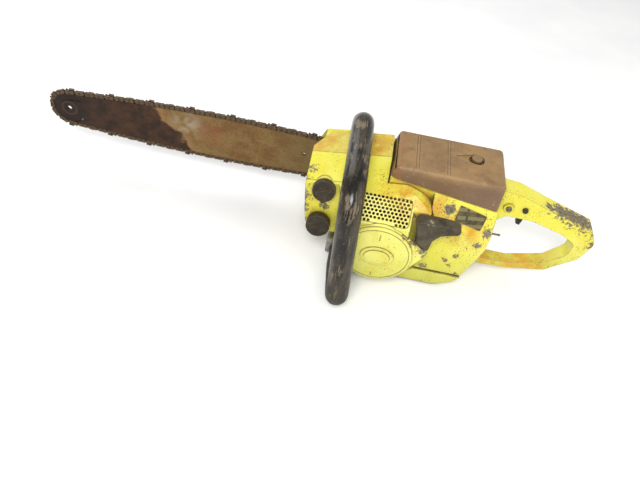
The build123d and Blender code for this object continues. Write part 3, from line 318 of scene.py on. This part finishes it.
def rusty_bar():
    """The guide bar: olive-tan rust behind a ragged line, oily dark brown in front of it."""
    s = Surface("rusty_bar_steel")
    bar_face = nose_eye[1]
    fine = s.noise(4, 6, 0.7)
    base = s.mix(s.band(s.noise(26, 5), 0.38, 0.62), colour(122, 98, 58), colour(108, 78, 44))
    base = s.mix(s.times(s.band(fine, 0.48, 0.64), 0.6), base, colour(88, 60, 32))
    bright = s.band(s.noise(10, 6, 0.7, 0.0, (0.25, 1.0, 1.0)), 0.58, 0.72)
    base = s.mix(s.times(bright, 0.4), base, colour(146, 124, 84))
    olive = s.band(s.x, 0.2, 0.13)
    base = s.mix(s.times(olive, 0.4), base, colour(104, 94, 62))
    slant = s.add(s.x, s.times(s.math("SUBTRACT", s.z, nose_eye[2]), OIL_LINE_LEAN))
    ragged = s.add(slant, s.times(s.noise(30, 6, 0.65), 0.09))
    oiled = s.band(ragged, OIL_LINE, OIL_LINE + 0.012)
    halo = s.times(s.band(ragged, OIL_LINE - 0.017, OIL_LINE + 0.002), s.math("SUBTRACT", 1.0, oiled))
    base = s.mix(s.times(halo, 0.5), base, colour(150, 116, 74))
    red = s.times(s.near((0.290, bar_face, 0.093), 0.034), s.band(s.noise(12, 6), 0.42, 0.6))
    base = s.mix(s.times(red, 0.6), base, colour(136, 72, 48))
    milky = s.times(s.near((0.332, bar_face, 0.104), 0.036), s.band(s.noise(16, 6), 0.4, 0.6))
    base = s.mix(s.times(milky, 0.5), base, colour(176, 164, 138))
    wet = s.mix(s.band(s.noise(18, 6), 0.4, 0.62), colour(66, 42, 25), colour(42, 28, 18))
    base = s.mix(oiled, base, wet)
    deeper = s.band(s.x, 0.42, 0.52)
    base = s.mix(s.times(deeper, 0.55), base, colour(30, 21, 15))
    from_eye = s.distance(nose_eye)
    disc = s.band(s.add(from_eye, s.times(s.noise(12), 0.004)), NOSE_DISC + 0.003, NOSE_DISC)
    base = s.mix(s.times(disc, 0.7), base, colour(32, 22, 17))
    ring = s.band(s.math("ABSOLUTE", s.math("SUBTRACT", from_eye, HUB_RING)), 0.0022, 0.0008)
    base = s.mix(s.times(ring, 0.5), base, colour(84, 50, 34))
    rails = s.band(s.add(s.edges(0.0025), s.times(fine, 0.2)), 0.17, 0.26)
    base = s.mix(s.times(rails, 0.7), base, colour(48, 34, 24))
    rough = s.add(s.times(s.math("SUBTRACT", 1.0, oiled), 0.2), s.times(s.noise(9, 5), 0.6))
    height = s.add(s.times(fine, 0.8), s.times(s.noise(1.2, 3), 0.4))
    return s.finish(base, s.add(rough, 0.16), 0.1, height, 0.4, 0.0003, sheen=0.2)


def rusty_steel(name, dark, rust, shine, metal=0.7):
    """Steel with oily dirt and painted shade in its corners, rust blooms and bright rubbed edges."""
    s = Surface(name)
    base = s.mix(s.band(s.noise(7, 6, 0.7), 0.4, 0.6), dark, rust)
    rubbed = s.band(s.add(s.edges(0.0008), s.times(s.noise(4, 4), 0.3)), 0.2, 0.32)
    base = s.mix(s.times(rubbed, 0.8), base, shine)
    # Oily dirt and painted shade: corners within 6 mm, and patchy dirt beyond them, are mixed towards near black.
    film = s.band(s.add(s.hollows(0.006), s.times(s.noise(5, 5), 0.6)), 0.55, 1.0)
    base = s.mix(s.times(film, 0.8), base, colour(28, 21, 15))
    rough = s.add(0.22, s.times(s.noise(6, 5), 0.5))
    return s.finish(base, rough, metal, s.noise(1.4, 4), 0.4, 0.0002, 0.0003)


def cast_metal(name, light, dark):
    """As-cast alloy with a sandy grain, and grease and painted shade in its corners."""
    s = Surface(name)
    base = s.mix(s.band(s.noise(12, 6), 0.4, 0.6), light, dark)
    # Grease and painted shade: corners within 10 mm, and patchy grease beyond them, are mixed towards dark brown.
    film = s.band(s.add(s.hollows(0.01), s.times(s.noise(9, 5), 0.7)), 0.5, 1.0)
    base = s.mix(s.times(film, 0.8), base, colour(50, 42, 30))
    rough = s.add(0.3, s.times(s.noise(8), 0.4))
    return s.finish(base, rough, 0.8, s.noise(0.9, 3), 0.5, 0.0002)


def fibre(name, light, dark, size):
    """Felt or braid: pale fibres with oily soiling."""
    s = Surface(name)
    base = s.mix(s.band(s.noise(10, 6), 0.38, 0.62), light, dark)
    strand = s.noise(size, 5, 0.7, 0.8)
    base = s.mix(s.times(s.band(strand, 0.5, 0.7), 0.5), base, colour(70, 62, 46))
    return s.finish(base, s.add(0.7, s.times(strand, 0.3)), 0.0, strand, 0.7, 0.0004)


def blank_plate():
    """The rating plate: dark enamel with rows of pale empty fields, nothing printed on it."""
    s = Surface("blank_rating_plate")
    low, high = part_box("rating_plate")
    across = s.band(s.x, low[0], high[0])
    rows = s.math("FRACT", s.times(s.band(s.z, low[2], high[2]), 3.0))
    row = s.times(s.band(rows, 0.3, 0.36), s.band(rows, 0.8, 0.74))
    long_field = s.times(s.band(across, 0.07, 0.08), s.band(across, 0.6, 0.59))
    short_field = s.times(s.band(across, 0.66, 0.67), s.band(across, 0.93, 0.92))
    fields = s.times(row, s.most(long_field, short_field))
    base = s.mix(s.band(s.noise(10, 5), 0.4, 0.6), colour(66, 60, 38), colour(92, 82, 50))
    base = s.mix(s.times(fields, 0.55), base, colour(142, 132, 88))
    worn = s.band(s.noise(3.5, 6, 0.7), 0.56, 0.64)
    base = s.mix(s.times(worn, 0.6), base, colour(118, 106, 66))
    edge = s.band(s.edges(0.0012), 0.05, 0.15)
    base = s.mix(edge, base, colour(150, 144, 118))
    return s.finish(base, s.add(0.3, s.times(s.noise(6), 0.4)), 0.4, s.noise(1.5, 3), 0.3, 0.0002)


# ---- wear at named places on the painted castings ----
TANK_CHIPS = (((0.116, 0.020, 0.150), 0.030), ((0.120, 0.046, 0.124), 0.026),
              ((0.120, 0.048, 0.100), 0.026), ((0.120, 0.048, 0.076), 0.024),
              ((0.086, 0.05, 0.110), 0.014))
STARTER_CHIPS = (((-0.034, 0.091, 0.120), 0.016), ((-0.048, 0.090, 0.112), 0.017),
                 ((-0.062, 0.090, 0.101), 0.018), ((-0.070, 0.090, 0.092), 0.016),
                 ((-0.036, 0.091, 0.034), 0.014))
CASE_CHIPS = (((-0.088, 0.048, 0.148), 0.020), ((-0.104, 0.058, 0.130), 0.018),
              ((-0.148, 0.050, 0.120), 0.018), ((-0.140, 0.060, 0.102), 0.014),
              ((-0.045, 0.068, 0.135), 0.016), ((-0.118, 0.060, 0.074), 0.011),
              ((-0.104, 0.060, 0.062), 0.010), ((-0.112, 0.060, 0.052), 0.008),
              ((-0.076, 0.060, 0.040), 0.014), ((-0.128, 0.060, 0.034), 0.010))
HANDLE_CHIPS = (((-0.232, 0.006, 0.152), 0.015), ((-0.252, 0.002, 0.148), 0.026),
                ((-0.270, 0.0, 0.142), 0.030), ((-0.288, 0.0, 0.136), 0.030),
                ((-0.304, 0.0, 0.124), 0.028), ((-0.312, 0.004, 0.106), 0.022))
COWL_CHIPS = (((-0.050, 0.060, 0.140), 0.016), ((0.112, 0.030, 0.160), 0.018),
              ((0.118, 0.040, 0.140), 0.020), ((-0.040, 0.072, 0.142), 0.010))
SHOULDER_STAINS = (((-0.020, 0.050, 0.158), 0.050), ((-0.060, 0.056, 0.150), 0.046),
                   ((-0.120, 0.058, 0.120), 0.040), ((-0.090, 0.062, 0.128), 0.036))
SHROUD_STAINS = (((0.030, -0.020, 0.180), 0.060), ((0.100, -0.020, 0.165), 0.050))
STRAP_STAINS = (((-0.230, 0.0, 0.024), 0.070), ((-0.180, 0.0, 0.024), 0.050))


def slot_materials():
    """The material for each of the record's slots, where a node has none of its own."""
    dark_rust = rusty_steel("chain_steel", colour(58, 44, 32), colour(92, 64, 40), colour(170, 158, 138))
    ground = rusty_steel("ground_steel", colour(96, 90, 80), colour(128, 122, 112),
                         colour(206, 202, 194), 0.9)
    zinc = rusty_steel("plated_fastener", colour(120, 112, 94), colour(86, 70, 50),
                       colour(216, 210, 196), 0.85)
    return {
        "yellow_paint": worn_paint("worn_lemon_paint"),
        "brown_plastic": faded_moulding("faded_brown_moulding"),
        "black_plastic": black_moulding("dusty_black_moulding", 0.6),
        "black_sleeve": scuffed_sleeve(),
        "bar_steel": rusty_bar(),
        "chain_steel": dark_rust,
        "bright_steel": ground,
        "cast_alloy": cast_metal("cast_alloy", colour(168, 166, 158), colour(128, 124, 112)),
        "zinc_screw": zinc,
        "plate_grey": blank_plate(),
        "white_felt": fibre("filter_felt", colour(208, 196, 160), colour(150, 132, 96), 1.2),
        "white_rope": fibre("braided_rope", colour(206, 198, 172), colour(150, 138, 106), 0.8),
        "black_rubber": black_moulding("black_rubber", 0.3),
        "exhaust_steel": rusty_steel("heat_stained_steel", colour(44, 34, 28), colour(96, 60, 38),
                                     colour(120, 104, 88), 0.5),
    }


def own_materials():
    """Nodes that show wear of their own."""
    rivets = rusty_steel("chain_rivet_steel", colour(92, 76, 50), colour(64, 50, 32),
                         colour(140, 122, 90), 0.4)
    grip_light, grip_deep = colour(84, 76, 58), colour(50, 45, 34)
    cap_light, cap_deep = colour(58, 49, 36), colour(34, 29, 22)
    return {
        "front_tank": worn_paint("paint_front_tank", LEMON, TANK_CHIPS, (), 1.1, 1.0, 0.74),
        "fan_housing": worn_paint("paint_fan_housing", LEMON, COWL_CHIPS, SHOULDER_STAINS),
        "starter_cover": worn_paint("paint_starter_cover", LEMON_PALE, STARTER_CHIPS, (), 1.0, 0.9),
        "starter_emblem": worn_paint("paint_emblem", LEMON_PALE, (), (), 0.9, 1.4),
        "cylinder_shroud": worn_paint("paint_shroud", LEMON_DEEP, (), SHROUD_STAINS),
        "rear_case": worn_paint("paint_rear_case", LEMON, CASE_CHIPS, SHOULDER_STAINS, 1.0, 1.2),
        "rear_tank": worn_paint("paint_rear_tank", LEMON_PALE, CASE_CHIPS, (), 1.0, 1.1),
        "rear_handle": worn_paint("paint_rear_handle", LEMON, HANDLE_CHIPS, STRAP_STAINS, 1.05, 0.9, 0.84),
        "starter_grip": black_moulding("worn_grip", 0.8, (((-0.062, 0.088, 0.150), 0.012),),
                                       grip_light, grip_deep),
        "fuel_cap": black_moulding("dusty_fuel_cap", 0.8, (), cap_light, cap_deep),
        "oil_cap": black_moulding("dusty_oil_cap", 0.5, (), cap_light, cap_deep),
        "filter_knob": faded_moulding("brown_knob", colour(122, 96, 64), colour(98, 76, 50)),
        "chain_rivets": rivets,
    }


def dress(obj, material):
    obj.data.materials.clear()
    obj.data.materials.append(material)


finishes = slot_materials()
slot_of = {part["node"]: part["material_slot"] for part in frame["record"]["subparts"]}
special = own_materials()
for node_name, node_object in nodes.items():
    dress(node_object, special.get(node_name) or finishes[slot_of[node_name]])


# ---- the starter rope, laid from three twisted strands ----
ROPE_RADIUS = 0.0022
ROPE_LENGTH = 0.037
ROPE_LAY = 0.013
STRANDS = 3
STRAND_SHARE = 0.46


def strand(build, start, axis, side, turn):
    """Adds one strand: a round section carried along a helix about the rope's line."""
    thick = ROPE_RADIUS * STRAND_SHARE
    offset = ROPE_RADIUS - thick
    steps, corners = 72, 10
    across = axis.cross(side)
    rings = []
    for step in range(steps + 1):
        along = ROPE_LENGTH * step / steps
        angle = turn + 2 * pi * along / ROPE_LAY
        outward = cos(angle) * side + sin(angle) * across
        round_rope = cos(angle) * across - sin(angle) * side
        lean = (axis * ROPE_LAY + round_rope * 2 * pi * offset).normalized()
        level = outward.cross(lean)
        middle = start + along * axis + offset * outward
        ring = []
        for corner in range(corners):
            swing = 2 * pi * corner / corners
            ring.append(build.verts.new(middle + thick * (cos(swing) * outward + sin(swing) * level)))
        rings.append(ring)
    for low, high in zip(rings, rings[1:]):
        for corner in range(corners):
            after = (corner + 1) % corners
            build.faces.new((low[corner], low[after], high[after], high[corner]))
    build.faces.new(tuple(reversed(rings[0])))
    build.faces.new(rings[-1])


def starter_rope():
    """The rope from the cover's arm into the grip."""
    low, high = (Vector(corner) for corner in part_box("starter_rope"))
    axis = Vector(joint_of["starter_pull"]["axis"]).normalized()
    start = (low + high) / 2 - axis * ROPE_LENGTH / 2
    side = Vector((0, 1, 0))
    build = bmesh.new()
    for index in range(STRANDS):
        strand(build, start, axis, side, 2 * pi * index / STRANDS)
    bmesh.ops.recalc_face_normals(build, faces=build.faces)
    for face in build.faces:
        face.smooth = True
    mesh = bpy.data.meshes.new("laid_starter_rope")
    build.to_mesh(mesh)
    build.free()
    rope = bpy.data.objects.new("laid_starter_rope", mesh)
    bpy.context.scene.collection.objects.link(rope)
    dress(rope, finishes["white_rope"])
    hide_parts("starter_rope")
    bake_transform(rope)


starter_rope()


# ---- floor, light and camera ----
def floor():
    """A broad, flat, pale floor just under the saw."""
    mesh = bpy.data.meshes.new("studio_floor")
    build = bmesh.new()
    bmesh.ops.create_grid(build, x_segments=8, y_segments=8, size=6.0)
    build.to_mesh(mesh)
    build.free()
    made = bpy.data.objects.new("studio_floor", mesh)
    made.location.z = packed_box[0][2] - 0.0005
    bpy.context.scene.collection.objects.link(made)
    s = Surface("pale_floor")
    base = s.mix(s.band(s.noise(300, 3), 0.4, 0.6), colour(243, 243, 242), colour(238, 238, 238))
    dress(made, s.finish(base, s.add(0.6, s.times(s.noise(40), 0.2)), soft=0.001))


def area_light(name, place, aim, size, power):
    lamp = bpy.data.lights.new(name, "AREA")
    lamp.shape = "DISK"
    lamp.size = size
    lamp.energy = power
    made = bpy.data.objects.new(name, lamp)
    made.location = place
    made.rotation_euler = (Vector(aim) - Vector(place)).to_track_quat("-Z", "Y").to_euler()
    bpy.context.scene.collection.objects.link(made)


def studio():
    middle = (0.1, 0.0, 0.1)
    area_light("key", (0.2, 1.3, 1.5), middle, 0.7, 28)
    area_light("fill", (-1.4, 0.4, 1.2), middle, 1.6, 11)
    area_light("far_fill", (1.2, -1.3, 1.4), middle, 1.6, 16)
    world = bpy.data.worlds.new("studio_world")
    world.use_nodes = True
    world.node_tree.nodes["Background"].inputs["Color"].default_value = (1.0, 1.0, 1.0, 1.0)
    world.node_tree.nodes["Background"].inputs["Strength"].default_value = 0.62
    bpy.context.scene.world = world
    bpy.context.scene.view_settings.view_transform = "Standard"


CAMERA_PLACE = (0.0654, 0.7176, 0.7075)
CAMERA_LENS = 34.875
SENSOR_WIDTH = 36


def camera():
    """Looks down over the starter side at 45 degrees, a little rolled."""
    look_down, swing, roll = radians(45), radians(1.5), radians(10.5)
    view = Vector((sin(swing) * cos(look_down), -cos(swing) * cos(look_down), -sin(look_down)))
    level = Vector((-cos(swing), -sin(swing), 0))
    above = level.cross(view)
    right = cos(roll) * level + sin(roll) * above
    top = cos(roll) * above - sin(roll) * level
    lens = bpy.data.cameras.new("camera")
    lens.lens = CAMERA_LENS
    lens.sensor_width = SENSOR_WIDTH
    made = bpy.data.objects.new("camera", lens)
    turned = Matrix((right, top, -view)).transposed().to_4x4()
    made.matrix_world = Matrix.Translation(CAMERA_PLACE) @ turned
    bpy.context.scene.collection.objects.link(made)
    bpy.context.scene.camera = made


floor()
studio()
camera()
